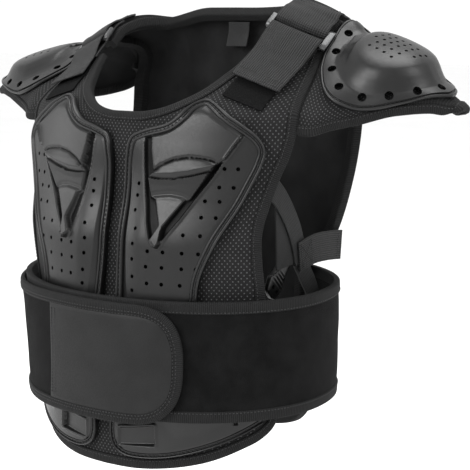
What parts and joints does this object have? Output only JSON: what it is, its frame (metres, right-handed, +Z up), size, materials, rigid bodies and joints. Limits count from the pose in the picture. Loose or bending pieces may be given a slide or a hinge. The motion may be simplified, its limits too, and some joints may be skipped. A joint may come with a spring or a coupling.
{
  "type": "motorcycle armour vest",
  "caption": "Sleeveless armour vest with moulded chest plates, domed shoulder cups, straps with bar sliders and a wide waist belt closed by an overlapping flap.",
  "frame": {"origin": "midway between the two shoulder straps, on top of the shoulders, where the vest hangs on a body", "axes": "+X to the right in a front view, -Y out of the chest, +Z up"},
  "size_m": [0.5913, 0.2718, 0.457],
  "materials": {
    "mesh": "black spacer mesh over foam",
    "cloth": "dark woven lining",
    "tape": "ribbed edge tape",
    "plastic": "satin moulded plastic",
    "webbing": "ribbed webbing",
    "hook": "fine loop tape",
    "plush": "brushed loop cloth",
    "vinyl": "smooth coated cloth",
    "bright": "grey bevelled plastic"
  },
  "bodies": {
    "root": {"front_panel": "mesh", "back_panel": "cloth", "neck_binding_front": "tape", "neck_binding_back": "tape", "hem_binding_front": "tape", "hem_binding_back": "tape", "armhole_binding_left": "tape", "armhole_binding_right": "tape", "back_binding_left": "tape", "back_binding_right": "tape", "chest_plate_left": "plastic", "chest_plate_right": "plastic", "chest_rim_left": "plastic", "chest_rim_right": "plastic", "belly_plate_left": "plastic", "belly_plate_right": "plastic", "belly_rim_left": "plastic", "belly_rim_right": "plastic", "shoulder_wing_left": "mesh", "shoulder_wing_right": "mesh", "wing_binding_left": "tape", "wing_binding_right": "tape", "shoulder_cup_left": "plastic", "shoulder_cup_right": "plastic", "cup_rim_left": "plastic", "cup_rim_right": "plastic", "front_strap_left": "webbing", "front_strap_right": "webbing", "back_strap_left": "webbing", "back_strap_right": "webbing", "slider_left": "bright", "slider_right": "bright", "loop_tape_left": "hook", "loop_tape_right": "hook", "belt": "plush", "belt_binding_top": "tape", "belt_binding_bottom": "tape", "belt_flap": "plush", "flap_binding": "tape", "flap_patch": "vinyl", "side_strap_left": "webbing", "side_strap_right": "webbing", "cross_strap_left": "webbing", "cross_strap_right": "webbing", "upright_strap_left": "webbing", "upright_strap_right": "webbing", "lower_strap_left": "webbing", "lower_strap_right": "webbing", "side_buckle_left": "plastic", "side_buckle_right": "plastic", "neck_tab": "vinyl"}
  },
  "joints": []
}
